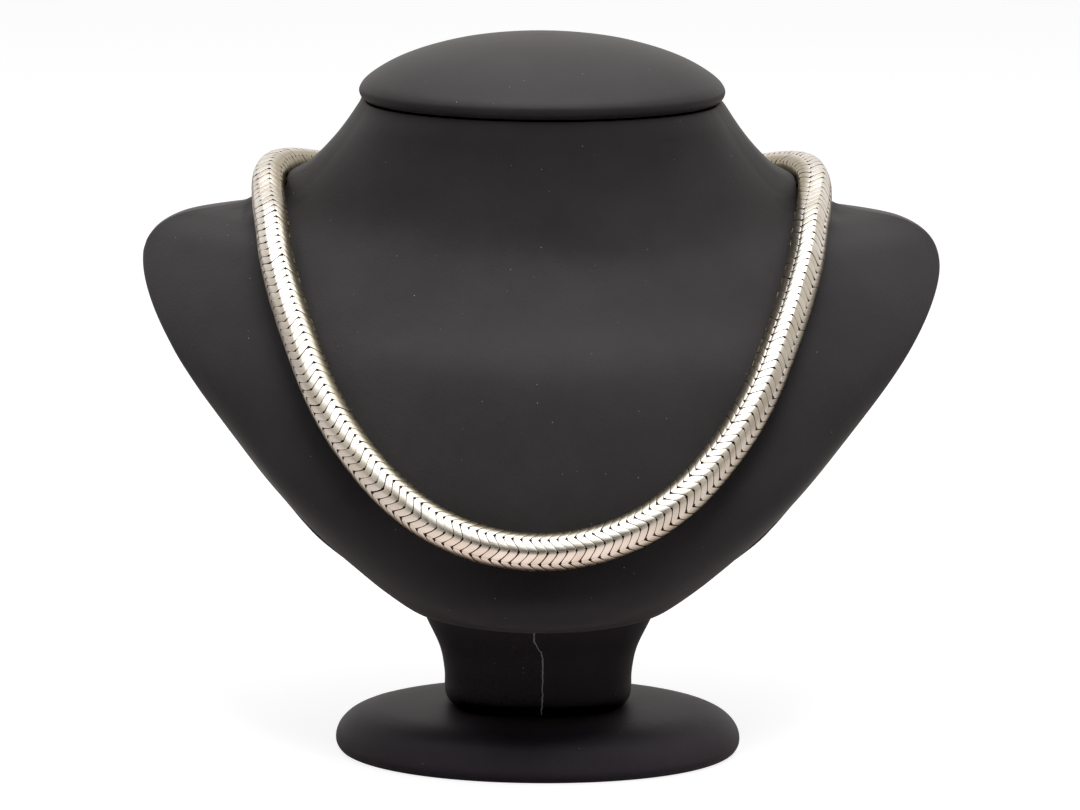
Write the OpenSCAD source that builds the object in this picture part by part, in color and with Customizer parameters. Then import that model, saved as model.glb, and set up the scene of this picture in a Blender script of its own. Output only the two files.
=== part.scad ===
// Thick round snake chain of woven silver, closed round the neck of a display bust.
// The bust stands on the plane z = 0 with its chest towards -Y, and the origin is under the middle of its foot.

/* [Chain] */
// Thickness of the round chain
chain_d = 10; // [8:0.1:10.2]
// Flat sides of the chain's round outline
chain_sides = 12; // [8:1:12]

/* [Clasp] */
// Length of the barrel clasp behind the neck
clasp_l = 18; // [14:1:22]
// Thickness of the barrel between its rims
clasp_d = 9.6; // [8:0.1:10]
// Thickness of the rim round each end of the barrel
clasp_rim_d = 11; // [10.4:0.1:11.2]
// Width of each rim
clasp_rim_w = 2.2; // [1.5:0.1:4]

/* [Bust] */
// Width across the shoulders
shoulder_w = 220.6; // [214:0.2:226]

/* [Cap] */
// Width of the domed cap on the neck
cap_w = 100; // [98:0.5:106]
// Depth of the cap from front to back
cap_d = 85; // [84:0.5:92]
// Height of the cap from its seat to the top of its dome
cap_h = 18; // [12:0.5:24]

/* [Stem] */
// Width of the stem at its waist
stem_w = 51; // [44:0.5:54]
// Depth of the stem at its waist
stem_d = 38; // [32:0.5:42]
// Width of the flared collar under the chest
collar_w = 68; // [60:0.5:68.5]
// Depth of the flared collar
collar_d = 47; // [42:0.5:50]

/* [Foot] */
// Width of the oval foot
foot_w = 110.6; // [100:0.2:130]
// Depth of the oval foot
foot_d = 75; // [68:0.5:90]
// Height of the foot where the stem stands on it
foot_h = 13; // [10:0.5:16]

/* [Hidden] */

silver = [0.80, 0.77, 0.73];
leatherette = [0.17, 0.165, 0.165];

// Shoulder width that the bust's sections and the chain's route are written for
drawn_shoulder_w = 220.6;
side_scale = shoulder_w / drawn_shoulder_w;

// How far the back cover's edge lies behind the front cover's edge, at the seam down each side
seam_step = 0.6;
// Points on the front and on the back of each of the bust's sections
front_steps = 40;
back_steps = 32;
// Points round each section of the cap, the stem and the foot
round_steps = 48;
// Sections made from each row of a table
bust_steps = 2;
round_rows = 2;

// Columns of the bust's sections. The lip is how far the back cover stands out past the front one,
// and the two powers round the front and the back: 1 is an ellipse in front, 2 is an ellipse behind.
Z = 0;
HALF_W = 1;
LIP = 2;
SIDE_Y = 3;
FRONT_Y = 4;
BACK_Y = 5;
FRONT_POW = 6;
BACK_POW = 7;
bust_sections = [
    //  z, half_w, lip, side_y, front_y, back_y, front_pow, back_pow
    [ 45.5,  35.5, 0.3, -16.0, -54.0, 30.0, 1.0, 2.60],
    [ 48.0,  39.0, 0.4, -17.0, -57.6, 33.0, 1.0, 2.60],
    [ 54.0,  46.5, 1.2, -20.0, -59.2, 36.0, 1.0, 2.60],
    [ 66.0,  60.5, 2.2, -20.0, -56.5, 42.0, 1.0, 2.60],
    [ 78.0,  72.0, 1.8, -17.0, -53.5, 49.0, 1.0, 2.60],
    [ 90.0,  83.0, 1.0,  -9.0, -49.2, 57.0, 1.3, 2.60],
    [104.0,  96.2, 0.4,   4.0, -43.0, 66.0, 1.6, 2.60],
    [116.0, 105.3, 0.3,  20.0, -36.5, 74.0, 1.8, 2.60],
    [126.0, 110.0, 0.3,  34.0, -30.0, 78.5, 1.9, 2.60],
    [132.0, 109.8, 0.3,  40.0, -26.0, 78.5, 2.0, 2.60],
    [136.5, 107.3, 0.3,  42.5, -22.8, 78.0, 2.1, 2.50],
    [140.0, 102.0, 0.3,  43.0, -20.4, 77.0, 2.3, 2.35],
    [142.0,  95.0, 0.3,  41.5, -19.2, 76.0, 2.3, 2.20],
    [144.0,  81.5, 0.3,  39.0, -18.1, 74.5, 2.0, 2.10],
    [149.0,  70.6, 0.3,  33.0, -15.4, 71.5, 1.4, 1.90],
    [155.0,  64.0, 0.3,  31.0, -13.4, 69.5, 1.1, 1.95],
    [163.0,  55.6, 0.3,  30.0, -12.2, 68.5, 1.0, 2.00],
    [174.5,  48.6, 0.3,  29.5, -12.0, 68.5, 1.0, 2.00]
];
bust_bottom = bust_sections[0][Z];
neck_top = bust_sections[len(bust_sections) - 1][Z];

// Columns of the cap's and the foot's profiles, as shares of the height and of the half width.
// The cap's widest row is its lip, and the foot's widest row is low on its rounded edge.
cap_profile = [
    // height, width
    [0.000, 0.950],
    [0.040, 0.980],
    [0.110, 0.996],
    [0.190, 1.000],
    [0.350, 0.968],
    [0.520, 0.880],
    [0.700, 0.730],
    [0.870, 0.500],
    [0.960, 0.280],
    [1.000, 0.060]
];
cap_y = 29;

foot_profile = [
    // height, width
    [0.000, 0.950],
    [0.060, 0.980],
    [0.240, 1.000],
    [0.480, 0.990],
    [0.680, 0.955],
    [0.830, 0.900],
    [0.940, 0.810],
    [0.985, 0.690],
    [1.000, 0.540]
];
foot_power = 2.05;

// Columns of the stem's profile: the share of the stem's height, and how far each row goes
// from the waist's size towards the collar's size, where a row under 0 is tucked in.
stem_profile = [
    // height, flare
    [0.000, -0.340],
    [0.035, -0.130],
    [0.100,  0.000],
    [0.230,  0.000],
    [0.330,  0.040],
    [0.440,  0.115],
    [0.540,  0.240],
    [0.650,  0.440],
    [0.780,  0.680],
    [1.000,  1.000]
];
stem_y = 3;
stem_power = 2.7;

// Middle of the chain from the front of the chest, up over the right shoulder and round to the clasp
clasp_y = 78;
clasp_z = 149.2;
half_route = [
    [0, -61.5, 69],
    [13.5, -60.5, 70.5],
    [26.5, -57.5, 75],
    [37.5, -53, 82],
    [46, -47, 90],
    [53, -40.5, 98.5],
    [58.5, -33.5, 107.5],
    [63, -25, 117],
    [67, -15.5, 126],
    [70.5, -4.5, 135.5],
    [72.5, 7.5, 143.5],
    [74, 19, 148],
    [74.5, 30, 152.5],
    [72.5, 41.5, 154],
    [68, 52, 153.3],
    [60, 62, 151],
    [49, 70, 149.5],
    [36, 74.5, 149],
    [22, clasp_y, clasp_z],
    [clasp_l / 2, clasp_y, clasp_z]
];
// Rings swept along each step of the route
route_steps = 2;

// A number's size raised to a power, with its sign kept
function signed_pow(v, p) = sign(v) * pow(abs(v), p);

// Slope of a table's columns at row i, against its first column
function slope(rows, i) =
    let (
        a = max(i - 1, 0),
        b = min(i + 1, len(rows) - 1)
    )
    (rows[b] - rows[a]) / (rows[b][0] - rows[a][0]);

// Row at the share t of the way from row i to the next, on a smooth curve through the table
function row_between(rows, i, t) =
    let (
        gap = rows[i + 1][0] - rows[i][0],
        rise = 3 * t * t - 2 * t * t * t
    )
    (1 - rise) * rows[i] + rise * rows[i + 1]
        + (t * t * t - 2 * t * t + t) * gap * slope(rows, i)
        + (t * t * t - t * t) * gap * slope(rows, i + 1);

function smooth_rows(rows, steps) = [
    for (i = [0 : len(rows) - 2]) for (k = [0 : steps - 1]) row_between(rows, i, k / steps),
    rows[len(rows) - 1]
];

// One level section of the bust: the front cover from side to side, then the back cover
function bust_section(r) = concat(
    [
        for (k = [0 : front_steps])
            let (a = 180 * k / front_steps - 90)
            [
                side_scale * r[HALF_W] * sin(a),
                r[SIDE_Y] - (r[SIDE_Y] - r[FRONT_Y]) * pow(cos(a), r[FRONT_POW]),
                r[Z]
            ]
    ],
    [
        for (k = [0 : back_steps])
            let (a = 180 * k / back_steps)
            [
                side_scale * (r[HALF_W] + r[LIP]) * signed_pow(cos(a), 2 / r[BACK_POW]),
                r[SIDE_Y] + seam_step + (r[BACK_Y] - r[SIDE_Y] - seam_step) * pow(sin(a), 2 / r[BACK_POW]),
                r[Z]
            ]
    ]
);

// One level section of an oval piece, squarer than an ellipse when its power is over 2
function oval_section(half_w, half_d, power, y, z) = [
    for (k = [0 : round_steps - 1])
        let (a = 360 * k / round_steps)
        [half_w * signed_pow(cos(a), 2 / power), y + half_d * signed_pow(sin(a), 2 / power), z]
];

// Middle of the whole chain: the left half of the route, then the right half
route = concat(
    [for (i = [len(half_route) - 1 : -1 : 1]) [-side_scale * half_route[i][0], half_route[i][1], half_route[i][2]]],
    [for (p = half_route) [side_scale * p[0], p[1], p[2]]]
);

// Point and direction on a smooth curve through the closed route, at the share t after point i
function route_corner(i) = route[(i + len(route)) % len(route)];
function route_point(i, t) =
    let (
        a = route_corner(i - 1),
        b = route_corner(i),
        c = route_corner(i + 1),
        d = route_corner(i + 2)
    )
    (2 * b + (c - a) * t + (2 * a - 5 * b + 4 * c - d) * t * t + (3 * b - a - 3 * c + d) * t * t * t) / 2;
function route_way(i, t) =
    let (
        a = route_corner(i - 1),
        b = route_corner(i),
        c = route_corner(i + 1),
        d = route_corner(i + 2)
    )
    (c - a) + (2 * a - 5 * b + 4 * c - d) * 2 * t + (3 * b - a - 3 * c + d) * 3 * t * t;

// Ring of points round the route, square to its direction
function route_ring(i, t) =
    let (
        way = route_way(i, t) / norm(route_way(i, t)),
        level = cross([0, 0, 1], way) / norm(cross([0, 0, 1], way)),
        upright = cross(way, level)
    )
    [
        for (k = [0 : chain_sides - 1])
            let (a = 360 * (k + 0.5) / chain_sides)
            route_point(i, t) + chain_d / 2 * (cos(a) * level + sin(a) * upright)
    ];

// Closed solid through a stack of rings, each of the same number of points
module skin(rings) {
    n = len(rings[0]);
    last = len(rings) - 1;
    polyhedron(
        points = [for (ring = rings) each ring],
        faces = [
            [for (k = [0 : n - 1]) k],
            for (i = [0 : last - 1]) for (k = [0 : n - 1]) each [
                [i * n + k, (i + 1) * n + k, (i + 1) * n + (k + 1) % n],
                [i * n + k, (i + 1) * n + (k + 1) % n, i * n + (k + 1) % n]
            ],
            [for (k = [n - 1 : -1 : 0]) last * n + k]
        ],
        convexity = 6
    );
}

// The woven chain, as a round tube from one end of the clasp to the other
module snake_chain() {
    last = len(route) - 2;
    color(silver) skin([
        for (i = [0 : last]) for (k = [0 : route_steps - 1]) route_ring(i, k / route_steps),
        route_ring(last, 1)
    ]);
}

// The barrel clasp behind the neck, with a rim where each end of the chain goes in
module barrel_clasp() {
    color(silver)
        translate([0, clasp_y, clasp_z])
        rotate([0, 90, 0])
        rotate_extrude($fn = 48) {
            translate([0, -clasp_l / 2]) square([clasp_d / 2, clasp_l]);
            translate([0, -clasp_l / 2]) square([clasp_rim_d / 2, clasp_rim_w]);
            translate([0, clasp_l / 2 - clasp_rim_w]) square([clasp_rim_d / 2, clasp_rim_w]);
        }
}

// The domed cap that closes the neck, with its rounded lip
module neck_cap() {
    color(leatherette) skin([
        for (r = smooth_rows(cap_profile, round_rows))
            oval_section(r[1] * cap_w / 2, r[1] * cap_d / 2, 2, cap_y, neck_top + r[0] * cap_h)
    ]);
}

// Neck, shoulders and chest in one body
module bust() {
    color(leatherette) skin([for (r = smooth_rows(bust_sections, bust_steps)) bust_section(r)]);
}

// The short stem, which flares into a collar under the chest
module stem() {
    color(leatherette) skin([
        for (r = smooth_rows(stem_profile, round_rows))
            oval_section(
                (stem_w + r[1] * (collar_w - stem_w)) / 2,
                (stem_d + r[1] * (collar_d - stem_d)) / 2,
                stem_power,
                stem_y,
                foot_h + r[0] * (bust_bottom - foot_h)
            )
    ]);
}

// The oval foot, rounded like a pebble over a flat underside
module foot() {
    color(leatherette) skin([
        for (r = smooth_rows(foot_profile, round_rows))
            oval_section(r[1] * foot_w / 2, r[1] * foot_d / 2, foot_power, 0, r[0] * foot_h)
    ]);
}

snake_chain();
barrel_clasp();
neck_cap();
bust();
stem();
foot();
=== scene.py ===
import math
import random

import bpy
import numpy as np
from mathutils import Matrix, Vector, geometry, kdtree


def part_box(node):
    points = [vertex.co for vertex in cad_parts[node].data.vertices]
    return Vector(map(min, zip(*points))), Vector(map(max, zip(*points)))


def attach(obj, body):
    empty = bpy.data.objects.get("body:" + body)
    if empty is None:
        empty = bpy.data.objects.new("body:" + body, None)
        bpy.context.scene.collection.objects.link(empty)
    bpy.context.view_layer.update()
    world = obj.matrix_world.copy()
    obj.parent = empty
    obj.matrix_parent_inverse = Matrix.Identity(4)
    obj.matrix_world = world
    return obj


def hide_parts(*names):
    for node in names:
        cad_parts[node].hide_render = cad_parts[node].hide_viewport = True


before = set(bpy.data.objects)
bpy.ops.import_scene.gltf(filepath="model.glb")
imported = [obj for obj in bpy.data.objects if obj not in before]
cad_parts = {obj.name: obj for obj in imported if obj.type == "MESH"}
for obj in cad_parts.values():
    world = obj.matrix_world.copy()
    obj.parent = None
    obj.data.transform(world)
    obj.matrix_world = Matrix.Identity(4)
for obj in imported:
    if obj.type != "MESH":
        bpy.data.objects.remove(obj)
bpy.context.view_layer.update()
bpy.ops.object.select_all(action="DESELECT")


# Foot: an oval pebble with a flat underside that carries the whole bust. It is shaped from board
# and covered in the same thin black leatherette as the rest, drawn over its edge and glued below.

# The leatherette's look, used by every covered piece: a fine pebbled grain, faint clouds in the
# colour where it has been handled, and the odd speck of dust.
leatherette_black = (0.0395, 0.0378, 0.0385)
leatherette_worn = (0.0485, 0.0465, 0.0472)
dust_white = (0.42, 0.41, 0.40)

grain = bpy.data.node_groups.new("leatherette_grain", "ShaderNodeTree")
for label, kind, value in (
    ("Dark", "NodeSocketColor", (*leatherette_black, 1)),
    ("Worn", "NodeSocketColor", (*leatherette_worn, 1)),
    ("Dust", "NodeSocketColor", (*dust_white, 1)),
    ("Grain per metre", "NodeSocketFloat", 1500.0),
    ("Dust per metre", "NodeSocketFloat", 270.0),
):
    socket = grain.interface.new_socket(label, in_out="INPUT", socket_type=kind)
    socket.default_value = value
for label, kind in (
    ("Color", "NodeSocketColor"),
    ("Roughness", "NodeSocketFloat"),
    ("Height", "NodeSocketFloat"),
):
    grain.interface.new_socket(label, in_out="OUTPUT", socket_type=kind)

knobs = grain.nodes.new("NodeGroupInput")
results = grain.nodes.new("NodeGroupOutput")
place = grain.nodes.new("ShaderNodeTexCoord")

pebbles = grain.nodes.new("ShaderNodeTexVoronoi")
pebbles.feature = "SMOOTH_F1"
pebbles.inputs["Smoothness"].default_value = 0.6
creases = grain.nodes.new("ShaderNodeTexNoise")
creases.inputs["Scale"].default_value = 420.0
creases.inputs["Detail"].default_value = 3.0
relief = grain.nodes.new("ShaderNodeMath")
relief.operation = "MULTIPLY_ADD"
relief.inputs[1].default_value = 0.6
grain.links.new(place.outputs["Object"], pebbles.inputs["Vector"])
grain.links.new(place.outputs["Object"], creases.inputs["Vector"])
grain.links.new(knobs.outputs["Grain per metre"], pebbles.inputs["Scale"])
grain.links.new(pebbles.outputs["Distance"], relief.inputs[0])
grain.links.new(creases.outputs["Fac"], relief.inputs[2])

clouds = grain.nodes.new("ShaderNodeTexNoise")
clouds.inputs["Scale"].default_value = 38.0
clouds.inputs["Detail"].default_value = 5.0
clouds.inputs["Roughness"].default_value = 0.62
cloud_share = grain.nodes.new("ShaderNodeMapRange")
cloud_share.inputs["From Min"].default_value = 0.40
cloud_share.inputs["From Max"].default_value = 0.72
shade = grain.nodes.new("ShaderNodeMix")
shade.data_type = "RGBA"
grain.links.new(place.outputs["Object"], clouds.inputs["Vector"])
grain.links.new(clouds.outputs["Fac"], cloud_share.inputs["Value"])
grain.links.new(cloud_share.outputs["Result"], shade.inputs["Factor"])
grain.links.new(knobs.outputs["Dark"], shade.inputs["A"])
grain.links.new(knobs.outputs["Worn"], shade.inputs["B"])

# A speck shows where the surface meets the middle of a cell. A third of the cells have none, and
# the others differ in how pale they are.
specks = grain.nodes.new("ShaderNodeTexVoronoi")
speck_size = grain.nodes.new("ShaderNodeMath")
speck_size.operation = "LESS_THAN"
speck_size.inputs[1].default_value = 0.036
speck_pick = grain.nodes.new("ShaderNodeSeparateColor")
speck_chosen = grain.nodes.new("ShaderNodeMapRange")
speck_chosen.inputs["From Min"].default_value = 0.35
speck_here = grain.nodes.new("ShaderNodeMath")
speck_here.operation = "MULTIPLY"
dusted = grain.nodes.new("ShaderNodeMix")
dusted.data_type = "RGBA"
grain.links.new(place.outputs["Object"], specks.inputs["Vector"])
grain.links.new(knobs.outputs["Dust per metre"], specks.inputs["Scale"])
grain.links.new(specks.outputs["Distance"], speck_size.inputs[0])
grain.links.new(specks.outputs["Color"], speck_pick.inputs["Color"])
grain.links.new(speck_pick.outputs["Red"], speck_chosen.inputs["Value"])
grain.links.new(speck_size.outputs[0], speck_here.inputs[0])
grain.links.new(speck_chosen.outputs["Result"], speck_here.inputs[1])
grain.links.new(speck_here.outputs[0], dusted.inputs["Factor"])
grain.links.new(shade.outputs["Result"], dusted.inputs["A"])
grain.links.new(knobs.outputs["Dust"], dusted.inputs["B"])

dullness = grain.nodes.new("ShaderNodeMapRange")
dullness.inputs["To Min"].default_value = 0.44
dullness.inputs["To Max"].default_value = 0.56
grain.links.new(clouds.outputs["Fac"], dullness.inputs["Value"])
grain.links.new(dusted.outputs["Result"], results.inputs["Color"])
grain.links.new(dullness.outputs["Result"], results.inputs["Roughness"])
grain.links.new(relief.outputs[0], results.inputs["Height"])


def leatherette(name, painted_light_tone=(1, 1, 1)):
    """Black leatherette for one covered piece, whose red, green and blue are scaled by a tone of painted
    light or shade that makes the piece lighter or darker than the rest.
    """
    skin = bpy.data.materials.new(name)
    skin.use_nodes = True
    nodes, links = skin.node_tree.nodes, skin.node_tree.links
    surface = nodes["Principled BSDF"]
    surface.inputs["Specular IOR Level"].default_value = 0.21
    surface.inputs["Specular Tint"].default_value = (0.90, 0.88, 0.96, 1)
    surface.inputs["Sheen Weight"].default_value = 0.03
    surface.inputs["Sheen Roughness"].default_value = 0.45
    pattern = nodes.new("ShaderNodeGroup")
    pattern.node_tree = grain
    pattern.name = "grain"
    for label, colour in (("Dark", leatherette_black), ("Worn", leatherette_worn)):
        pattern.inputs[label].default_value = (*(share * part for share, part in zip(colour, painted_light_tone)), 1)
    bump = nodes.new("ShaderNodeBump")
    bump.inputs["Strength"].default_value = 0.9
    bump.inputs["Distance"].default_value = 0.00005
    links.new(pattern.outputs["Height"], bump.inputs["Height"])
    links.new(bump.outputs["Normal"], surface.inputs["Normal"])
    links.new(pattern.outputs["Color"], surface.inputs["Base Color"])
    links.new(pattern.outputs["Roughness"], surface.inputs["Roughness"])
    return skin


def choose(piece):
    """Makes a piece the only one selected and the one that the next tool works on."""
    bpy.ops.object.select_all(action="DESELECT")
    bpy.context.view_layer.objects.active = piece
    piece.select_set(True)


def pick(piece, kind, wanted):
    """Opens a piece for editing, with only the faces, edges or corners selected that wanted() names."""
    choose(piece)
    bpy.ops.object.mode_set(mode="EDIT")
    bpy.ops.mesh.select_mode(type=kind)
    bpy.ops.mesh.select_all(action="DESELECT")
    bpy.ops.object.mode_set(mode="OBJECT")
    parts = {"FACE": piece.data.polygons, "EDGE": piece.data.edges, "VERT": piece.data.vertices}[kind]
    for part in parts:
        part.select = bool(wanted(part))
    bpy.ops.object.mode_set(mode="EDIT")


def finish(piece, kind, **settings):
    """Adds a modifier with its settings and applies it."""
    choose(piece)
    modifier = piece.modifiers.new(kind.lower(), kind)
    for key, value in settings.items():
        setattr(modifier, key, value)
    bpy.ops.object.modifier_apply(modifier=modifier.name)


weld_within = 0.000002
flat_within = 0.00001
level_facing = 0.99


def covered(node, name):
    """A copy of a CAD node with its facets welded and each flat end made one face."""
    cover = bpy.data.objects.new(name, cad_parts[node].data.copy())
    bpy.context.collection.objects.link(cover)
    cover.data.materials.clear()
    pick(cover, "VERT", lambda corner: True)
    bpy.ops.mesh.remove_doubles(threshold=weld_within)
    bpy.ops.object.mode_set(mode="OBJECT")
    low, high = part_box(node)
    for end, facing in ((low[2], -1), (high[2], 1)):
        pick(
            cover,
            "FACE",
            lambda face: abs(face.center.z - end) < flat_within and face.normal.z * facing > level_facing,
        )
        bpy.ops.mesh.dissolve_faces()
        bpy.ops.object.mode_set(mode="OBJECT")
    pick(cover, "FACE", lambda face: True)
    bpy.ops.mesh.tris_convert_to_quads(face_threshold=math.radians(60), shape_threshold=math.radians(80))
    bpy.ops.object.mode_set(mode="OBJECT")
    return cover


def soften_rims(cover, node, width):
    """Rounds the edges of a cover's flat ends, where it is drawn over and glued."""
    low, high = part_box(node)
    spots = cover.data.vertices
    ends = (low[2], high[2])
    pick(
        cover,
        "EDGE",
        lambda edge: any(all(abs(spots[v].co.z - end) < flat_within for v in edge.vertices) for end in ends),
    )
    bpy.ops.mesh.bevel(offset=width, segments=2, affect="EDGES")
    bpy.ops.object.mode_set(mode="OBJECT")


foot = covered("foot", "foot_cover")
soften_rims(foot, "foot", width=0.0005)
finish(foot, "SUBSURF", levels=2, render_levels=2)
bpy.ops.object.shade_smooth()
# The foot's cover is painted lighter and a little violet: painted light on its ends, where light reaches
# them from the sides.
foot.data.materials.append(leatherette("foot_leatherette", painted_light_tone=(1.45, 1.36, 1.50)))
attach(foot, "root")
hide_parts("foot")


# Stem: a short oval post, flared into a collar under the chest. Its cover is closed down the front,
# where a hairline split has opened and shows the pale backing cloth.
split_width = 0.00023
split_raggedness = 0.08
split_path = (
    # height, place across
    (0.000, 0.0009),
    (0.013, 0.0009),
    (0.0195, 0.0012),
    (0.0285, 0.0012),
    (0.0312, 0.0009),
    (0.0322, 0.0001),
    (0.0345, -0.0011),
    (0.060, -0.0014),
)

stem = covered("stem", "stem_cover")
soften_rims(stem, "stem", width=0.0004)
finish(stem, "SUBSURF", levels=2, render_levels=2)
bpy.ops.object.shade_smooth()
# The stem's cover is painted darker: painted shade under the chest.
stem_leatherette = leatherette("stem_leatherette", painted_light_tone=(0.7, 0.7, 0.7))
nodes, links = stem_leatherette.node_tree.nodes, stem_leatherette.node_tree.links
where = nodes.new("ShaderNodeTexCoord")
axes = nodes.new("ShaderNodeSeparateXYZ")
links.new(where.outputs["Object"], axes.inputs["Vector"])

# The split's path is a curve from height to place across, both brought into the curve's 0 to 1
top_of_path = split_path[-1][0]
across_reach = 0.004
height_share = nodes.new("ShaderNodeMath")
height_share.operation = "DIVIDE"
height_share.inputs[1].default_value = top_of_path
path_curve = nodes.new("ShaderNodeFloatCurve")
points = path_curve.mapping.curves[0].points
while len(points) < len(split_path):
    points.new(0.5, 0.5)
for point, (height, across) in zip(points, split_path):
    point.location = (height / top_of_path, 0.5 + across / (2 * across_reach))
    point.handle_type = "VECTOR"
path_curve.mapping.update()
links.new(axes.outputs["Z"], height_share.inputs[0])
links.new(height_share.outputs[0], path_curve.inputs["Value"])

across_share = nodes.new("ShaderNodeMath")
across_share.operation = "MULTIPLY_ADD"
across_share.inputs[1].default_value = 1 / (2 * across_reach)
across_share.inputs[2].default_value = 0.5
ragged = nodes.new("ShaderNodeTexNoise")
ragged.inputs["Scale"].default_value = 900.0
ragged.inputs["Detail"].default_value = 2.0
ragged_push = nodes.new("ShaderNodeMath")
ragged_push.operation = "MULTIPLY_ADD"
ragged_push.inputs[1].default_value = split_raggedness
ragged_push.inputs[2].default_value = -split_raggedness / 2
distance = nodes.new("ShaderNodeMath")
distance.operation = "SUBTRACT"
distance_ragged = nodes.new("ShaderNodeMath")
distance_ragged.operation = "ADD"
distance_size = nodes.new("ShaderNodeMath")
distance_size.operation = "ABSOLUTE"
inside = nodes.new("ShaderNodeMapRange")
inside.inputs["From Min"].default_value = split_width / (2 * across_reach) * 0.5
inside.inputs["From Max"].default_value = split_width / (2 * across_reach)
inside.inputs["To Min"].default_value = 1.0
inside.inputs["To Max"].default_value = 0.0
in_front = nodes.new("ShaderNodeMath")
in_front.operation = "LESS_THAN"
in_front.inputs[1].default_value = 0.0
split_here = nodes.new("ShaderNodeMath")
split_here.operation = "MULTIPLY"
links.new(axes.outputs["X"], across_share.inputs[0])
links.new(where.outputs["Object"], ragged.inputs["Vector"])
links.new(ragged.outputs["Fac"], ragged_push.inputs[0])
links.new(across_share.outputs[0], distance.inputs[0])
links.new(path_curve.outputs["Value"], distance.inputs[1])
links.new(distance.outputs[0], distance_ragged.inputs[0])
links.new(ragged_push.outputs[0], distance_ragged.inputs[1])
links.new(distance_ragged.outputs[0], distance_size.inputs[0])
links.new(distance_size.outputs[0], inside.inputs["Value"])
links.new(axes.outputs["Y"], in_front.inputs[0])
links.new(inside.outputs["Result"], split_here.inputs[0])
links.new(in_front.outputs[0], split_here.inputs[1])

backing_cloth = nodes.new("ShaderNodeMix")
backing_cloth.data_type = "RGBA"
backing_cloth.inputs["B"].default_value = (0.42, 0.41, 0.40, 1)
links.new(split_here.outputs[0], backing_cloth.inputs["Factor"])
links.new(nodes["grain"].outputs["Color"], backing_cloth.inputs["A"])
links.new(backing_cloth.outputs["Result"], nodes["Principled BSDF"].inputs["Base Color"])
stem.data.materials.append(stem_leatherette)
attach(stem, "root")
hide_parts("stem")


# Bust: neck, shoulders and chest moulded in one light shell. The front cover is drawn round to the
# sides and meets the back cover in a rolled seam, which opens a little along the lower edges.
seam_foot = 0.046
seam_deepest = 0.056
seam_top = 0.066
seam_step = 0.0006
seam_step_within = 0.00002
seam_lip = 0.00028
seam_least_aside = 0.03
level_within = 0.0001
seam_groove = 0.0007
groove_least = 0.00002
groove_width = 0.00022
groove_inwards = 0.6
groove_backwards = 0.8
crease_above_seam = 0.004
crease_sharpness = math.radians(42)
crease_strength = 0.6


def clamped(*shares):
    """The smallest of some shares, kept between 0 and 1."""
    return max(0.0, min(1.0, *shares))


bust = covered("bust", "bust_cover")
soften_rims(bust, "bust", width=0.0008)

corners = bust.data.vertices


def seam_depth(height):
    """How deep the seam's groove is at a height: deepest where the back cover stands out most."""
    if height < seam_deepest:
        share = (height - seam_foot) / (seam_deepest - seam_foot)
    else:
        share = (seam_top - height) / (seam_top - seam_deepest)
    share = clamped(share)
    return seam_groove * share * share * (3 - 2 * share)


def in_seam(face):
    """The narrow step between the covers: level edges that go back by the step and out by the lip."""
    edges = [(corners[a].co, corners[b].co) for a, b in face.edge_keys]
    level = [(a, b) for a, b in edges if abs(a.z - b.z) < level_within]
    back = [abs(abs(a.y - b.y) - seam_step) < seam_step_within for a, b in level]
    out = [abs(a.x - b.x) > seam_lip for a, b in level]
    at_side = abs(face.center.x) > seam_least_aside
    return at_side and len(face.vertices) == 4 and len(level) == 2 and all(back) and all(out)


step_faces = [face for face in bust.data.polygons if in_seam(face)]
front_corners = set()
for face in step_faces:
    for a, b in face.edge_keys:
        if abs(corners[a].co.z - corners[b].co.z) < level_within:
            front_corners.add(a if corners[a].co.y < corners[b].co.y else b)
seam_line = sorted((corners[v].co.z, corners[v].co.y) for v in front_corners if corners[v].co.z > seam_top)
seam_heights = [height for height, place in seam_line]
seam_places = [place for height, place in seam_line]
pick(
    bust,
    "EDGE",
    lambda edge: all(v in front_corners and seam_foot < corners[v].co.z < seam_top for v in edge.vertices)
    and corners[edge.vertices[0]].co.x * corners[edge.vertices[1]].co.x > 0,
)
bpy.ops.mesh.bevel(offset=groove_width, segments=1, affect="EDGES")
bpy.ops.mesh.extrude_region_shrink_fatten(TRANSFORM_OT_shrink_fatten={"value": 0.0})
bpy.ops.object.mode_set(mode="OBJECT")
for corner in corners:
    if corner.select:
        inward = Vector((-math.copysign(groove_inwards, corner.co.x), groove_backwards, 0))
        corner.co += inward * (groove_least + seam_depth(corner.co.z))
pick(bust, "EDGE", lambda edge: False)
bpy.ops.mesh.edges_select_sharp(sharpness=crease_sharpness)
bpy.ops.object.mode_set(mode="OBJECT")
for edge in bust.data.edges:
    edge.select = edge.select and seam_foot < corners[edge.vertices[0]].co.z < seam_top + crease_above_seam
bpy.ops.object.mode_set(mode="EDIT")
bpy.ops.transform.edge_crease(value=crease_strength)
bpy.ops.object.mode_set(mode="OBJECT")

# Between neck and chest, and where the covers meet over the shoulders, the padding makes soft sweeps
hollow_foot = 0.110
hollow_foot_fade = 0.016
hollow_top = 0.170
hollow_top_fade = 0.006
hollow_facing = 4
chain_inside = 0.076
chain_inside_fade = 0.008
shoulder_seam_foot = 0.066
shoulder_seam_foot_fade = 0.006
shoulder_seam_half = 0.007
shoulder_seam_reach = 1.5
shoulder_fullness = 0.0013
shoulder_full_from = 0.140
shoulder_full_fade = 0.010


def in_hollow(spot):
    """How far a point belongs to the hollow between neck and chest, fading at the hollow's edges."""
    above = (spot.co.z - hollow_foot) / hollow_foot_fade
    below = (hollow_top - spot.co.z) / hollow_top_fade
    across = (chain_inside - abs(spot.co.x)) / chain_inside_fade
    return clamped(above, below, across, -hollow_facing * spot.normal.y)


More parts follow.
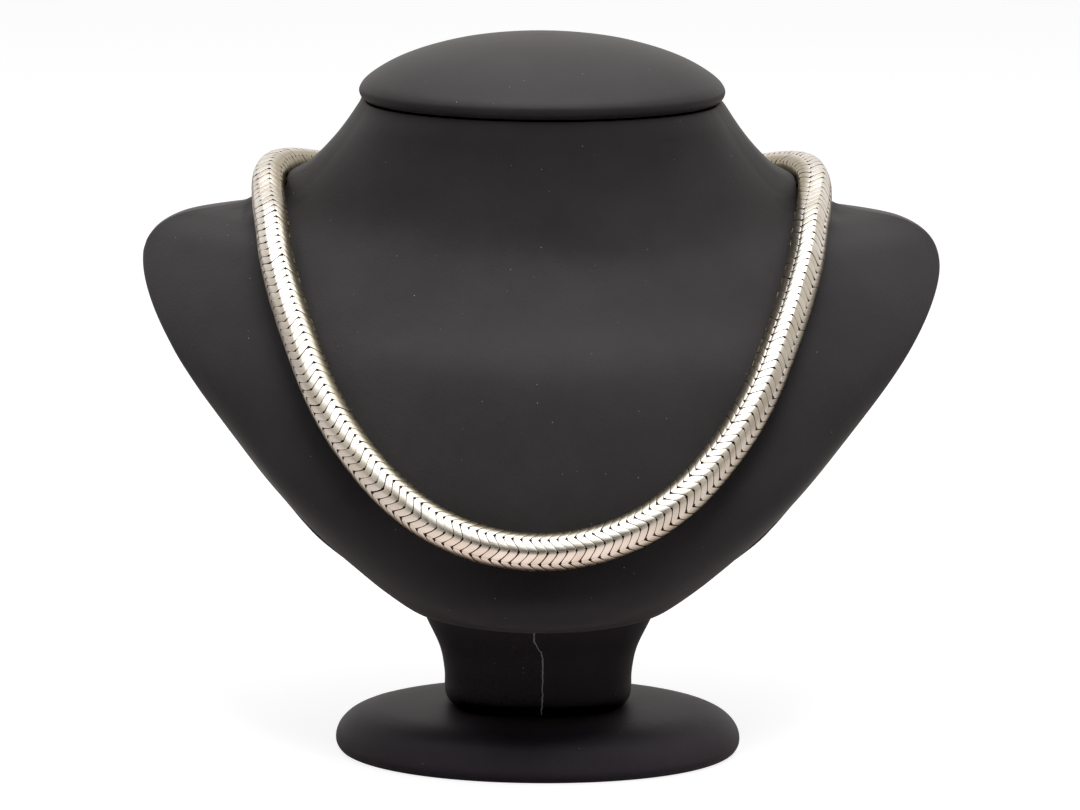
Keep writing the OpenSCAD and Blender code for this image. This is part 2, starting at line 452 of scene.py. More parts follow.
def on_shoulder_seam(spot):
    """How far a point belongs to the strip where the covers meet above the open seam."""
    aside = abs(spot.co.y - np.interp(spot.co.z, seam_heights, seam_places))
    beside = shoulder_seam_reach - aside / shoulder_seam_half
    return clamped(beside, (spot.co.z - shoulder_seam_foot) / shoulder_seam_foot_fade)


def soften(piece, belongs, rounds):
    """Smooths the part of a piece that belongs() names, by its share at each point."""
    before = [spot.co.copy() for spot in piece.data.vertices]
    shares = [belongs(spot) for spot in piece.data.vertices]
    pick(piece, "VERT", lambda spot: shares[spot.index] > 0)
    bpy.ops.mesh.vertices_smooth(factor=0.5, repeat=rounds)
    bpy.ops.object.mode_set(mode="OBJECT")
    for spot, old, share in zip(piece.data.vertices, before, shares):
        spot.co = old.lerp(spot.co, share)


soften(bust, in_hollow, rounds=40)
finish(bust, "SUBSURF", levels=2, render_levels=2)
bpy.ops.object.shade_smooth()
soften(bust, in_hollow, rounds=90)
soften(bust, on_shoulder_seam, rounds=26)
for spot in bust.data.vertices:
    on_top = clamped((spot.co.z - shoulder_full_from) / shoulder_full_fade)
    spot.co.z += shoulder_fullness * on_shoulder_seam(spot) * on_top
bust.data.materials.append(leatherette("bust_leatherette"))
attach(bust, "root")
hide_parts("bust")


# Neck cap: a domed board with a rounded lip, covered on its own and pressed onto the neck, so a thin
# shadow line runs between its lip and the neck.
cap = covered("neck_cap", "neck_cap_cover")
soften_rims(cap, "neck_cap", width=0.0003)
finish(cap, "SUBSURF", levels=2, render_levels=2)
bpy.ops.object.shade_smooth()
# The dome stands fuller in its middle than the board does, and falls faster towards the lip
dome_rise = 0.00075
rim_drop = 0.0027
rim_drop_at_sides = 0.3
rim_drop_power = 5
lip_power = 24
top_facing = 3
least_out = 0.001
cap_low, cap_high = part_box("neck_cap")
cap_middle = (Vector(cap_low) + Vector(cap_high)) / 2
cap_reach = Vector(cap_high) - cap_middle
facings = [spot.normal.z for spot in cap.data.vertices]
for spot, facing in zip(cap.data.vertices, facings):
    if facing > 0:
        aside = spot.co - cap_middle
        out = math.hypot(aside.x / cap_reach.x, aside.y / cap_reach.y)
        front = (aside.y / cap_reach.y / max(out, least_out)) ** 2
        drop = rim_drop * (rim_drop_at_sides + (1 - rim_drop_at_sides) * front)
        drop *= out ** rim_drop_power * (1 - out ** lip_power)
        lift = dome_rise * (1 - out ** 2) - drop
        spot.co.z += lift * min(1.0, top_facing * facing)
# The cap's cover is painted lighter than the rest: painted light on the dome.
cap.data.materials.append(leatherette("cap_leatherette", painted_light_tone=(1.18, 1.18, 1.18)))
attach(cap, "root")
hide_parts("neck_cap")


# Snake chain: round silver wire bent into flat loops and knitted into a tube, then drawn through a
# die. What shows is eight ranks of slanting slats round the tube, in four lines of arrowheads.
chain_d = 0.010
clasp_l = 0.018
clasp_y = 0.078
clasp_z = 0.1492
half_route = (
    (0.0, -0.0615, 0.069),
    (0.0135, -0.0605, 0.0705),
    (0.0265, -0.0575, 0.075),
    (0.0375, -0.053, 0.082),
    (0.046, -0.047, 0.090),
    (0.053, -0.0405, 0.0985),
    (0.0585, -0.0335, 0.1075),
    (0.063, -0.025, 0.117),
    (0.067, -0.0155, 0.126),
    (0.0705, -0.0045, 0.1355),
    (0.0725, 0.0075, 0.1435),
    (0.074, 0.019, 0.148),
    (0.0745, 0.030, 0.1525),
    (0.0725, 0.0415, 0.154),
    (0.068, 0.052, 0.1533),
    (0.060, 0.062, 0.151),
    (0.049, 0.070, 0.1495),
    (0.036, 0.0745, 0.149),
    (0.022, clasp_y, clasp_z),
    (clasp_l / 2, clasp_y, clasp_z),
)
route = [Vector((-x, y, z)) for x, y, z in reversed(half_route[1:])] + [Vector(p) for p in half_route]

# The middle of the chain as a curve. It is tilted at each point so that one line of arrowheads faces
# away from the bust, but as on any chain that was laid on by hand, the weave has turned a little.
weave_turn = (
    # share of the way from the clasp's left end, degrees outwards
    (0.00, 0.0),
    (0.26, 7.0),
    (0.30, 11.0),
    (0.35, 10.0),
    (0.40, -1.0),
    (0.45, 3.0),
    (0.50, 3.0),
    (0.53, 2.0),
    (0.58, -5.0),
    (0.64, -8.0),
    (0.74, -10.0),
    (0.85, -5.0),
    (1.00, 0.0),
)
turn_shares = [share for share, turned in weave_turn]
turn_degrees = [turned for share, turned in weave_turn]
handles_in_span = 6
steps_to_next = 16
lie = bpy.data.curves.new("chain_lie", "CURVE")
lie.dimensions = "3D"
lie.twist_mode = "Z_UP"
lie.resolution_u = steps_to_next
run = lie.splines.new("BEZIER")
run.bezier_points.add(len(route) - 1)
leans = []
for i, point in enumerate(run.bezier_points):
    way = (route[(i + 1) % len(route)] - route[i - 1]) / handles_in_span
    point.handle_left_type = point.handle_right_type = "FREE"
    point.co = route[i]
    point.handle_left = route[i] - way
    point.handle_right = route[i] + way
    way.normalize()
    level = Vector((0, 0, 1)).cross(way).normalized()
    upright = way.cross(level)
    nearest = bust.closest_point_on_mesh(route[i])[1]
    outward = route[i] - nearest
    turn = np.interp(i / (len(route) - 1), turn_shares, turn_degrees)
    leans.append(math.atan2(outward.dot(level), outward.dot(upright)) - math.radians(turn))
for i, point in enumerate(run.bezier_points):
    point.tilt = -(leans[i - 1] + 2 * leans[i] + leans[(i + 1) % len(route)]) / 4
chain_lie = bpy.data.objects.new("chain_lie", lie)
bpy.context.collection.objects.link(chain_lie)
run_length = run.calc_length()

# The cover gives way wherever it would touch the chain. On top of the shoulders, where the chain
# rests with its weight, the padding beside it has risen to meet it.
snug = 0.00508
padding_reach = 0.0115
padding_rise = 1.5
padding_front = 0.018
padding_front_fade = 0.010
padding_back = 0.066
padding_back_fade = 0.008
knots = list(run.bezier_points)
lie_spots = []
for a, b in zip(knots, knots[1:]):
    lie_spots += geometry.interpolate_bezier(a.co, a.handle_right, b.handle_left, b.co, steps_to_next)
lookup = kdtree.KDTree(len(lie_spots))
for i, spot in enumerate(lie_spots):
    lookup.insert(spot, i)
lookup.balance()
for corner in bust.data.vertices:
    spot, i, far = lookup.find(corner.co)
    on_shoulder = clamped(
        (spot.y - padding_front) / padding_front_fade,
        (padding_back - spot.y) / padding_back_fade,
    )
    if far < snug:
        corner.co += (corner.co - spot).normalized() * (snug - far)
    elif far < padding_reach:
        give = min(1.0, padding_rise * (padding_reach - far) / (padding_reach - snug)) * on_shoulder
        corner.co += (spot - corner.co).normalized() * (far - snug) * give

# The tube is a little squared: its corners run along the points of the arrowheads, and its flats lie
# where two lines of arrowheads meet. One slat is made from a bar, which is cut into rings, rounded
# along its top edges and laid round the tube.
rows = 210
pitch = run_length / rows
slant = 1.1 * pitch
slant_power = 1.15
slat_depth = 0.00055
slat_rounding = 0.06
slat_span = math.radians(45)
squareness = 0.00048
tarnish_down_flank = 8
tarnish_when_sunk = 0.0006
slat_rings = (
    # way from the arrowhead's point to the next line, sunk, width, pushed along
    (0.00, 0.00009, 0.74, -0.08),
    (0.07, 0.00002, 0.87, -0.02),
    (0.19, 0.00000, 0.93, 0.0),
    (0.40, 0.00000, 0.955, 0.0),
    (0.62, 0.00000, 0.945, 0.0),
    (0.80, 0.00000, 0.905, 0.02),
    (0.92, 0.00001, 0.81, 0.06),
    (1.00, 0.00005, 0.60, 0.15),
)
bar_along_least = 0.05
bar_top_least = 0.4


def reach(corners, edge, axis):
    """How far an edge reaches along one axis."""
    return abs(corners[edge.vertices[0]].co[axis] - corners[edge.vertices[1]].co[axis])


bpy.ops.object.select_all(action="DESELECT")
bpy.ops.mesh.primitive_cube_add(size=1, location=(0, 0, 0))
slat = bpy.context.object
slat.name = "slat"
bar = slat.data.vertices
pick(slat, "EDGE", lambda edge: reach(bar, edge, axis=1) > bar_along_least)
bpy.ops.mesh.subdivide(number_cuts=len(slat_rings) - 2)
bpy.ops.object.mode_set(mode="OBJECT")
pick(
    slat,
    "EDGE",
    lambda edge: reach(bar, edge, axis=1) > bar_along_least
    and min(bar[v].co.z for v in edge.vertices) > bar_top_least,
)
bpy.ops.mesh.bevel(offset=slat_rounding, segments=2, profile=0.5)
bpy.ops.object.mode_set(mode="OBJECT")

# Grooves hold the tarnish: it is full down a slat's flanks, a trace at its ends, none on its crown
tarnish = slat.data.attributes.new("tarnish", "FLOAT", "POINT")
for corner in slat.data.vertices:
    ring = round((corner.co.y + 0.5) * (len(slat_rings) - 1))
    slat_way, sunk, width, pushed = slat_rings[ring]
    below = 0.5 - corner.co.z
    angle = slat_span * slat_way
    flattened = squareness * math.sin(math.radians(90) * slat_way)
    radius = chain_d / 2 - below * slat_depth - sunk - flattened
    along = (corner.co.x * width + pushed) * pitch - slant * slat_way ** slant_power
    tarnish.data[corner.index].value = min(1.0, tarnish_down_flank * below + sunk / tarnish_when_sunk)
    corner.co = (along, radius * math.sin(angle), radius * math.cos(angle))

# Its mirror image makes the arrowhead, four of them make a row round the tube, and the row is repeated
finish(slat, "MIRROR", use_axis=(False, True, False), use_mirror_merge=False)
arrowheads = [slat]
for quarter in range(1, 4):
    turned = bpy.data.objects.new("arrowhead", slat.data.copy())
    bpy.context.collection.objects.link(turned)
    pick(turned, "VERT", lambda corner: True)
    bpy.ops.transform.rotate(value=math.radians(90) * quarter, orient_axis="X", center_override=(0, 0, 0))
    bpy.ops.object.mode_set(mode="OBJECT")
    arrowheads.append(turned)
choose(slat)
for arrowhead in arrowheads:
    arrowhead.select_set(True)
bpy.ops.object.join()
slat_corners = len(slat.data.vertices) // (2 * len(arrowheads))

# No two slats sit quite alike: each is shifted, sunk, turned and tipped by a hair
hand_seed = 11
hand_shift = 0.00005
hand_sink = 0.00003
hand_turn = 0.016
hand_tip_along = 0.014
hand_tip_round = 0.010

# Slats don't stretch: where the chain bends, the gaps open on its outside and close on its inside.
# Over the shoulders and behind the neck the weave is pressed together as well.
bend_reach = 4
stiff_least = 0.93
stiff_most = 1.015
pressed_heights = (0.085, 0.125)
pressed_lengths = (1.0, 1.04)


def slat_middle(corners, block):
    """The middle of one slat's corners."""
    return sum((corners[i].co for i in block), Vector()) / slat_corners


halves = []
for side, first_row, row_count in (("left", 0, rows // 2), ("right", rows // 2, rows - rows // 2 + 1)):
    half = bpy.data.objects.new("weave_" + side, slat.data.copy())
    bpy.context.collection.objects.link(half)
    finish(
        half,
        "ARRAY",
        count=row_count,
        use_relative_offset=False,
        use_constant_offset=True,
        constant_offset_displace=(pitch, 0, 0),
        use_merge_vertices=False,
    )
    hand = random.Random(hand_seed + first_row)
    tint = half.data.attributes.new("tint", "FLOAT", "POINT")
    corners = half.data.vertices
    for start in range(0, len(corners), slat_corners):
        block = range(start, start + slat_corners)
        middle = slat_middle(corners, block)
        out = Vector((0, middle.y, middle.z)).normalized()
        round_way = Vector((1, 0, 0)).cross(out)
        shift = hand.gauss(0, hand_shift)
        sink = abs(hand.gauss(0, hand_sink))
        turn = hand.gauss(0, hand_turn)
        tip_along = hand.gauss(0, hand_tip_along)
        tip_round = hand.gauss(0, hand_tip_round)
        shade_of_slat = hand.random()
        for i in block:
            offset = corners[i].co - middle
            x, r = offset.x, offset.dot(round_way)
            corners[i].co.x += shift + turn * r + (first_row + 0.5) * pitch
            corners[i].co += out * (tip_along * x + tip_round * r - sink)
            tint.data[i].value = shade_of_slat
    # A map that runs along the chain and round it, for marks that follow the chain
    lay = half.data.uv_layers.new(name="along_and_round")
    for loop in half.data.loops:
        spot = corners[loop.vertex_index].co
        lay.data[loop.index].uv = (spot.x, math.atan2(spot.y, spot.z) * chain_d / 2)
    finish(half, "CURVE", object=chain_lie, deform_axis="POS_X")
    for start in range(0, len(corners), slat_corners):
        block = range(start, start + slat_corners)
        middle = slat_middle(corners, block)
        spot, place, far = lookup.find(middle)
        before = lie_spots[max(0, place - bend_reach)]
        after = lie_spots[min(len(lie_spots) - 1, place + bend_reach)]
        along = (after - before).normalized()
        bend = (after + before - 2 * spot) / ((after - before).length / 2) ** 2
        bend -= along * bend.dot(along)
        stiff = max(stiff_least, min(stiff_most, 1 / (1 - bend.dot(middle - spot))))
        stiff *= float(np.interp(spot.z, pressed_heights, pressed_lengths))
        for i in block:
            corners[i].co += along * (corners[i].co - middle).dot(along) * (stiff - 1)
    halves.append(half)
bpy.data.objects.remove(slat)

# The slats' silver has fine lines along the chain, a tint for each slat, brown stains here and there
# and black grooves.
silver = bpy.data.materials.new("woven_silver")
silver.use_nodes = True
nodes, links = silver.node_tree.nodes, silver.node_tree.links
surface = nodes["Principled BSDF"]
surface.inputs["Metallic"].default_value = 1.0
groove = nodes.new("ShaderNodeAttribute")
groove.attribute_name = "tarnish"
slat_tint = nodes.new("ShaderNodeAttribute")
slat_tint.attribute_name = "tint"
lay_map = nodes.new("ShaderNodeUVMap")
lay_map.uv_map = "along_and_round"
stretch = nodes.new("ShaderNodeMapping")
stretch.inputs["Scale"].default_value = (300.0, 5200.0, 1.0)
drawn_lines = nodes.new("ShaderNodeTexNoise")
drawn_lines.inputs["Scale"].default_value = 1.0
drawn_lines.inputs["Detail"].default_value = 4.0
place = nodes.new("ShaderNodeTexCoord")
stain = nodes.new("ShaderNodeTexNoise")
stain.inputs["Scale"].default_value = 160.0
stain.inputs["Detail"].default_value = 4.0
links.new(lay_map.outputs["UV"], stretch.inputs["Vector"])
links.new(stretch.outputs["Vector"], drawn_lines.inputs["Vector"])
links.new(place.outputs["Object"], stain.inputs["Vector"])

slat_colour = nodes.new("ShaderNodeMix")
slat_colour.data_type = "RGBA"
slat_colour.inputs["A"].default_value = (0.91, 0.87, 0.815, 1)
slat_colour.inputs["B"].default_value = (0.82, 0.765, 0.69, 1)
links.new(slat_tint.outputs["Fac"], slat_colour.inputs["Factor"])
stain_share = nodes.new("ShaderNodeMapRange")
stain_share.inputs["From Min"].default_value = 0.50
stain_share.inputs["From Max"].default_value = 0.80
stain_share.inputs["To Max"].default_value = 0.35
stained = nodes.new("ShaderNodeMix")
stained.data_type = "RGBA"
stained.inputs["B"].default_value = (0.55, 0.45, 0.34, 1)
links.new(stain.outputs["Fac"], stain_share.inputs["Value"])
links.new(stain_share.outputs["Result"], stained.inputs["Factor"])
links.new(slat_colour.outputs["Result"], stained.inputs["A"])
grooved = nodes.new("ShaderNodeMix")
grooved.data_type = "RGBA"
grooved.inputs["B"].default_value = (0.055, 0.035, 0.022, 1)
groove_share = nodes.new("ShaderNodeMapRange")
groove_share.inputs["From Min"].default_value = 0.36
groove_share.inputs["From Max"].default_value = 0.62
links.new(groove.outputs["Fac"], groove_share.inputs["Value"])
links.new(groove_share.outputs["Result"], grooved.inputs["Factor"])
# Away from the outer side, on the flanks and on the side towards the leather, the silver is mixed towards a
# dull olive brown
round_way = nodes.new("ShaderNodeSeparateXYZ")
round_size = nodes.new("ShaderNodeMath")
round_size.operation = "ABSOLUTE"
olive_away_from_outside_share = nodes.new("ShaderNodeMapRange")
olive_away_from_outside_share.inputs["From Min"].default_value = 0.0040
olive_away_from_outside_share.inputs["From Max"].default_value = 0.0062
olive_away_from_outside_share.inputs["To Max"].default_value = 0.85
olive_away_from_outside = nodes.new("ShaderNodeMix")
olive_away_from_outside.data_type = "RGBA"
olive_away_from_outside.inputs["B"].default_value = (0.36, 0.31, 0.215, 1)
links.new(lay_map.outputs["UV"], round_way.inputs["Vector"])
links.new(round_way.outputs["Y"], round_size.inputs[0])
links.new(round_size.outputs[0], olive_away_from_outside_share.inputs["Value"])
links.new(olive_away_from_outside_share.outputs["Result"], olive_away_from_outside.inputs["Factor"])
links.new(stained.outputs["Result"], olive_away_from_outside.inputs["A"])
links.new(olive_away_from_outside.outputs["Result"], grooved.inputs["A"])
links.new(grooved.outputs["Result"], surface.inputs["Base Color"])

polish = nodes.new("ShaderNodeMapRange")
polish.inputs["To Min"].default_value = 0.25
polish.inputs["To Max"].default_value = 0.36
links.new(drawn_lines.outputs["Fac"], polish.inputs["Value"])
dulled = nodes.new("ShaderNodeMath")
dulled.operation = "MULTIPLY_ADD"
dulled.inputs[1].default_value = 0.30
links.new(groove_share.outputs["Result"], dulled.inputs[0])
links.new(polish.outputs["Result"], dulled.inputs[2])
links.new(dulled.outputs[0], surface.inputs["Roughness"])
bump = nodes.new("ShaderNodeBump")
bump.inputs["Strength"].default_value = 0.12
bump.inputs["Distance"].default_value = 0.00001
links.new(drawn_lines.outputs["Fac"], bump.inputs["Height"])
links.new(bump.outputs["Normal"], surface.inputs["Normal"])
for half in halves:
    choose(half)
    bpy.ops.object.shade_smooth_by_angle(angle=math.radians(38))
    half.data.materials.append(silver)
    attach(half, "root")
    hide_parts("snake_chain")


# Inside of the chain: the wires cross over one another in the dark under the slats. They show only
# as blackened silver at the bottom of the gaps, so one tube stands in for them.
core_radius = 0.0043
core_cuts = 200
bpy.ops.object.select_all(action="DESELECT")
bpy.ops.mesh.primitive_cylinder_add(
    vertices=16,
    radius=core_radius,
    depth=run_length,
    rotation=(0, math.radians(90), 0),
    location=(run_length / 2, 0, 0),
)
core = bpy.context.object
core.name = "chain_core"
bpy.ops.object.transform_apply(location=True, rotation=True, scale=True)
wire = core.data.vertices
pick(core, "EDGE", lambda edge: reach(wire, edge, axis=0) > run_length / 2)
bpy.ops.mesh.subdivide(number_cuts=core_cuts)
bpy.ops.object.mode_set(mode="OBJECT")
finish(core, "CURVE", object=chain_lie, deform_axis="POS_X")
bpy.ops.object.shade_smooth()
bpy.data.objects.remove(chain_lie)
blackened = bpy.data.materials.new("blackened_silver")
blackened.use_nodes = True
nodes, links = blackened.node_tree.nodes, blackened.node_tree.links
surface = nodes["Principled BSDF"]
surface.inputs["Metallic"].default_value = 0.6
surface.inputs["Roughness"].default_value = 0.65
place = nodes.new("ShaderNodeTexCoord")
crust = nodes.new("ShaderNodeTexNoise")
crust.inputs["Scale"].default_value = 700.0
crust.inputs["Detail"].default_value = 4.0
crust_colour = nodes.new("ShaderNodeMix")
crust_colour.data_type = "RGBA"
crust_colour.inputs["A"].default_value = (0.020, 0.014, 0.010, 1)
crust_colour.inputs["B"].default_value = (0.075, 0.050, 0.032, 1)
bump = nodes.new("ShaderNodeBump")
bump.inputs["Strength"].default_value = 0.5
bump.inputs["Distance"].default_value = 0.0001
links.new(place.outputs["Object"], crust.inputs["Vector"])
links.new(crust.outputs["Fac"], crust_colour.inputs["Factor"])
links.new(crust_colour.outputs["Result"], surface.inputs["Base Color"])
links.new(crust.outputs["Fac"], bump.inputs["Height"])
links.new(bump.outputs["Normal"], surface.inputs["Normal"])
core.data.materials.append(blackened)
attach(core, "root")
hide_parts("snake_chain")


# Clasp: a plain turned barrel in two halves that screw together behind the neck. The chain's ends
# are soldered into its rims, and a fine line round the middle shows where it opens.
clasp_d = 0.0096
rim_d = 0.011
rim_w = 0.0022
line_half = 0.00025
line_depth = 0.0004
edge_rounding = 0.00016
end_facing = 0.5
bpy.ops.object.select_all(action="DESELECT")
bpy.ops.mesh.primitive_cylinder_add(
    vertices=64,
    radius=clasp_d / 2,
    depth=clasp_l,
    rotation=(0, math.radians(90), 0),
    location=(0, clasp_y, clasp_z),
)
clasp = bpy.context.object
clasp.name = "clasp"
bpy.ops.object.transform_apply(location=True, rotation=True, scale=True)
for cut in (-clasp_l / 2 + rim_w, -line_half, line_half, clasp_l / 2 - rim_w):
    pick(clasp, "FACE", lambda face: True)
    bpy.ops.mesh.bisect(plane_co=(cut, clasp_y, clasp_z), plane_no=(1, 0, 0))
    bpy.ops.object.mode_set(mode="OBJECT")
pick(
    clasp,
    "FACE",
    lambda face: abs(face.normal.x) < end_facing and abs(face.center.x) > clasp_l / 2 - rim_w,
)
bpy.ops.mesh.extrude_region_shrink_fatten(TRANSFORM_OT_shrink_fatten={"value": (rim_d - clasp_d) / 2})
bpy.ops.object.mode_set(mode="OBJECT")
pick(clasp, "FACE", lambda face: abs(face.normal.x) < end_facing and abs(face.center.x) < line_half)
bpy.ops.mesh.extrude_region_shrink_fatten(TRANSFORM_OT_shrink_fatten={"value": -line_depth})
bpy.ops.object.mode_set(mode="OBJECT")
finish(clasp, "BEVEL", width=edge_rounding, segments=3, limit_method="ANGLE", angle_limit=math.radians(50))
bpy.ops.object.shade_smooth_by_angle(angle=math.radians(40))
turned_silver = bpy.data.materials.new("turned_silver")
turned_silver.use_nodes = True
nodes, links = turned_silver.node_tree.nodes, turned_silver.node_tree.links
surface = nodes["Principled BSDF"]
surface.inputs["Metallic"].default_value = 1.0
place = nodes.new("ShaderNodeTexCoord")
stretch = nodes.new("ShaderNodeMapping")
stretch.inputs["Scale"].default_value = (5000.0, 160.0, 160.0)
turning_lines = nodes.new("ShaderNodeTexNoise")
turning_lines.inputs["Scale"].default_value = 1.0
turning_lines.inputs["Detail"].default_value = 3.0
haze = nodes.new("ShaderNodeTexNoise")
haze.inputs["Scale"].default_value = 260.0
haze.inputs["Detail"].default_value = 4.0
haze_share = nodes.new("ShaderNodeMapRange")
haze_share.inputs["From Min"].default_value = 0.45
haze_share.inputs["From Max"].default_value = 0.75
haze_share.inputs["To Max"].default_value = 0.5
hazed = nodes.new("ShaderNodeMix")
hazed.data_type = "RGBA"
hazed.inputs["A"].default_value = (0.86, 0.80, 0.74, 1)
hazed.inputs["B"].default_value = (0.60, 0.50, 0.38, 1)
polish = nodes.new("ShaderNodeMapRange")
polish.inputs["To Min"].default_value = 0.16
polish.inputs["To Max"].default_value = 0.30
bump = nodes.new("ShaderNodeBump")
bump.inputs["Strength"].default_value = 0.25
bump.inputs["Distance"].default_value = 0.00001
links.new(place.outputs["Object"], stretch.inputs["Vector"])
links.new(stretch.outputs["Vector"], turning_lines.inputs["Vector"])
links.new(place.outputs["Object"], haze.inputs["Vector"])
links.new(haze.outputs["Fac"], haze_share.inputs["Value"])
links.new(haze_share.outputs["Result"], hazed.inputs["Factor"])
links.new(hazed.outputs["Result"], surface.inputs["Base Color"])
links.new(turning_lines.outputs["Fac"], polish.inputs["Value"])
links.new(polish.outputs["Result"], surface.inputs["Roughness"])
links.new(turning_lines.outputs["Fac"], bump.inputs["Height"])
links.new(bump.outputs["Normal"], surface.inputs["Normal"])
clasp.data.materials.append(turned_silver)
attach(clasp, "root")
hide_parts("barrel_clasp")


# Studio: the bust stands on a wide white sheet. A soft box hangs over it, a small lamp high in
# front fills in the shadows, and the polished silver mirrors a tent of white cloth.
sheet_middle = Vector((0, 2.0, 0))
pool_middle = Vector((0, -0.10, 0))
bpy.ops.object.select_all(action="DESELECT")
bpy.ops.mesh.primitive_plane_add(size=14, location=sheet_middle)
floor = bpy.context.object
floor.name = "floor"
paper = bpy.data.materials.new("white_paper")
paper.use_nodes = True
nodes, links = paper.node_tree.nodes, paper.node_tree.links
surface = nodes["Principled BSDF"]
surface.inputs["Roughness"].default_value = 0.8
sheet_colour = nodes.new("ShaderNodeMix")
sheet_colour.data_type = "RGBA"
sheet_colour.inputs["B"].default_value = (0.22, 0.232, 0.272, 1)
links.new(sheet_colour.outputs["Result"], surface.inputs["Base Color"])

# A pool of warm light lies on the sheet close in front of the foot, where the lowest stretch of the
# chain mirrors it. Its place is measured from the sheet's own middle.
spot_on_sheet = nodes.new("ShaderNodeTexCoord")
from_pool = nodes.new("ShaderNodeVectorMath")
from_pool.operation = "DISTANCE"
from_pool.inputs[1].default_value = pool_middle - sheet_middle
outside_pool = nodes.new("ShaderNodeMapRange")
outside_pool.inputs["From Min"].default_value = 0.06
outside_pool.inputs["From Max"].default_value = 0.17
sheet_light = nodes.new("ShaderNodeMix")
sheet_light.data_type = "RGBA"
sheet_light.inputs["A"].default_value = (0.98, 0.84, 0.79, 1)
sheet_light.inputs["B"].default_value = (0.68, 0.63, 0.60, 1)

# The picture of the sheet is overexposed: only the faintest shadow is left on it
burnt_out = nodes.new("ShaderNodeEmission")
burnt_out.inputs["Color"].default_value = (0.86, 0.86, 0.86, 1)
faint_shade = nodes.new("ShaderNodeBsdfDiffuse")
faint_shade.inputs["Color"].default_value = (0.35, 0.35, 0.35, 1)
seen = nodes.new("ShaderNodeAddShader")
ray = nodes.new("ShaderNodeLightPath")
which = nodes.new("ShaderNodeMixShader")
links.new(burnt_out.outputs["Emission"], seen.inputs[0])
links.new(faint_shade.outputs["BSDF"], seen.inputs[1])
links.new(ray.outputs["Is Diffuse Ray"], sheet_colour.inputs["Factor"])
links.new(spot_on_sheet.outputs["Object"], from_pool.inputs[0])
links.new(from_pool.outputs["Value"], outside_pool.inputs["Value"])
links.new(outside_pool.outputs["Result"], sheet_light.inputs["Factor"])
links.new(sheet_light.outputs["Result"], sheet_colour.inputs["A"])
links.new(ray.outputs["Is Camera Ray"], which.inputs["Fac"])
links.new(surface.outputs["BSDF"], which.inputs[1])
links.new(seen.outputs["Shader"], which.inputs[2])
links.new(which.outputs["Shader"], nodes["Material Output"].inputs["Surface"])
floor.data.materials.append(paper)

# Round the bust is the tent, brightest behind it, with a dark opening above the camera. The dull
# leatherette takes less of the tent's light than the silver mirrors.
room = bpy.data.worlds.new("room")
room.use_nodes = True
bpy.context.scene.world = room
nodes, links = room.node_tree.nodes, room.node_tree.links
nodes.clear()
output = nodes.new("ShaderNodeOutputWorld")
backdrop = nodes.new("ShaderNodeBackground")
backdrop.inputs["Color"].default_value = (1, 1, 1, 1)
walls = nodes.new("ShaderNodeBackground")
which = nodes.new("ShaderNodeMixShader")
ray = nodes.new("ShaderNodeLightPath")
toward = nodes.new("ShaderNodeTexCoord")
axes = nodes.new("ShaderNodeSeparateXYZ")
upward = nodes.new("ShaderNodeValToRGB")
upward.color_ramp.elements[0].position = 0.05
upward.color_ramp.elements[0].color = (0.38, 0.34, 0.28, 1)
upward.color_ramp.elements[1].position = 0.85
upward.color_ramp.elements[1].color = (0.50, 0.50, 0.48, 1)
half_way_up = upward.color_ramp.elements.new(0.55)
half_way_up.color = (0.62, 0.58, 0.51, 1)
behind = nodes.new("ShaderNodeMapRange")
behind.inputs["From Min"].default_value = 0.0
behind.inputs["From Max"].default_value = 0.7
behind_colour = nodes.new("ShaderNodeMix")
behind_colour.data_type = "RGBA"
behind_colour.inputs["B"].default_value = (0.88, 0.85, 0.82, 1)
opening_way = nodes.new("ShaderNodeVectorMath")
opening_way.operation = "DOT_PRODUCT"
opening_way.inputs[1].default_value = (0, -0.891, 0.454)
opening_share = nodes.new("ShaderNodeMapRange")
opening_share.inputs["From Min"].default_value = math.cos(math.radians(27))
opening_share.inputs["From Max"].default_value = math.cos(math.radians(18))
with_opening = nodes.new("ShaderNodeMix")
with_opening.data_type = "RGBA"
with_opening.inputs["B"].default_value = (0.06, 0.057, 0.054, 1)
for_leather = nodes.new("ShaderNodeMix")
for_leather.data_type = "RGBA"
for_leather.inputs["B"].default_value = (0.138, 0.140, 0.154, 1)
links.new(toward.outputs["Generated"], axes.inputs["Vector"])
links.new(axes.outputs["Z"], upward.inputs["Fac"])
links.new(axes.outputs["Y"], behind.inputs["Value"])
links.new(behind.outputs["Result"], behind_colour.inputs["Factor"])
links.new(upward.outputs["Color"], behind_colour.inputs["A"])
links.new(toward.outputs["Generated"], opening_way.inputs[0])
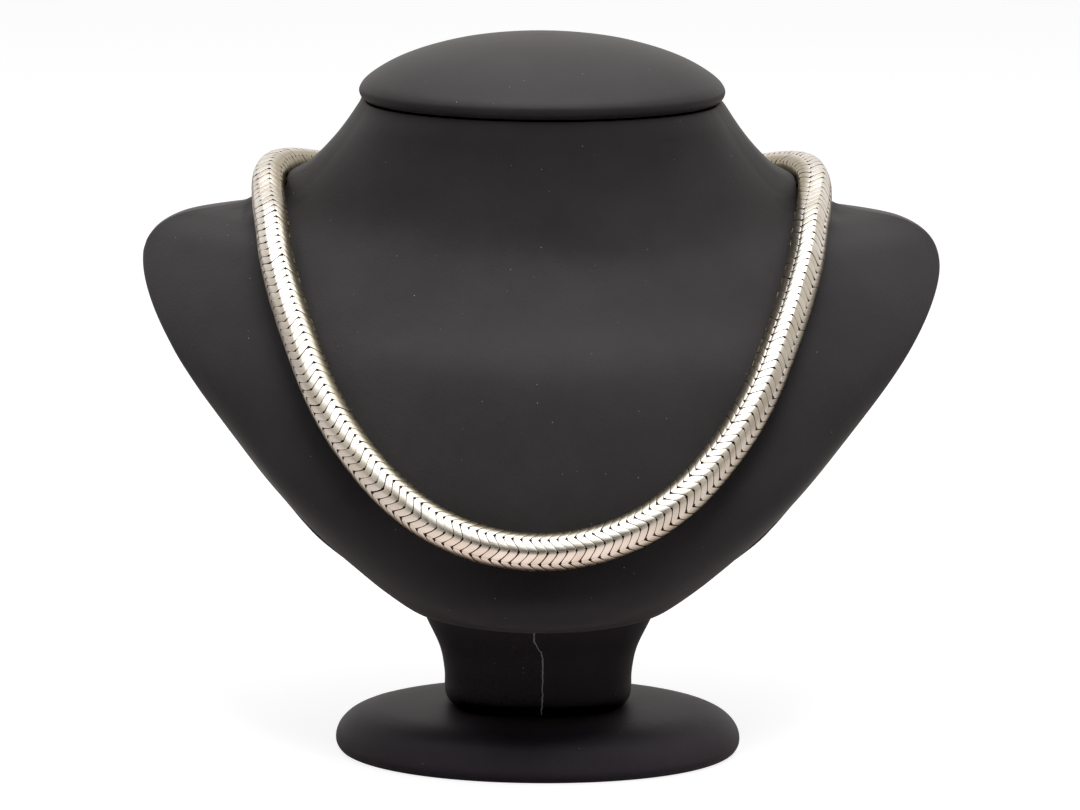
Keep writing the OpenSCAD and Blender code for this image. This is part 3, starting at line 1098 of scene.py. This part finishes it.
links.new(opening_way.outputs["Value"], opening_share.inputs["Value"])
links.new(opening_share.outputs["Result"], with_opening.inputs["Factor"])
links.new(behind_colour.outputs["Result"], with_opening.inputs["A"])
links.new(ray.outputs["Is Diffuse Ray"], for_leather.inputs["Factor"])
links.new(with_opening.outputs["Result"], for_leather.inputs["A"])
links.new(for_leather.outputs["Result"], walls.inputs["Color"])
links.new(ray.outputs["Is Camera Ray"], which.inputs["Fac"])
links.new(walls.outputs["Background"], which.inputs[1])
links.new(backdrop.outputs["Background"], which.inputs[2])
links.new(which.outputs["Shader"], output.inputs["Surface"])

for name, place, aim, width, height, power, mirrored in (
    ("soft_box", (0, -0.05, 1.20), (0, -0.05, 0.0), 1.3, 1.15, 9.0, True),
    ("fill", (0.16, -0.78, 1.87), (0, 0, 0.08), 0.7, 0.7, 20.0, False),
):
    box = bpy.data.lights.new(name, "AREA")
    box.shape = "RECTANGLE"
    box.size, box.size_y = width, height
    box.energy = power
    box.color = (1.0, 0.985, 0.96)
    lamp = bpy.data.objects.new(name, box)
    lamp.visible_glossy = mirrored
    lamp.location = place
    lamp.rotation_euler = (Vector(aim) - Vector(place)).to_track_quat("-Z", "Y").to_euler()
    bpy.context.collection.objects.link(lamp)

# The camera looks down a little from a metre and a quarter away, through a long lens
camera_down = 11
camera_rolled = 0.4
lens = bpy.data.cameras.new("camera")
lens.lens = 160.0
lens.sensor_width = 36.0
lens.clip_start = 0.05
lens.clip_end = 30.0
camera = bpy.data.objects.new("camera", lens)
camera.location = (0.0, -1.270, 0.3426)
looking_down = Matrix.Rotation(math.radians(90 - camera_down), 3, "X")
rolled = Matrix.Rotation(math.radians(camera_rolled), 3, "Z")
camera.rotation_euler = (looking_down @ rolled).to_euler()
bpy.context.collection.objects.link(camera)
bpy.context.scene.camera = camera

# The darkest tones are set a little deeper
view = bpy.context.scene.view_settings
view.view_transform = "Standard"
view.use_curve_mapping = True
view.curve_mapping.black_level = (0.004, 0.004, 0.004)
view.curve_mapping.update()
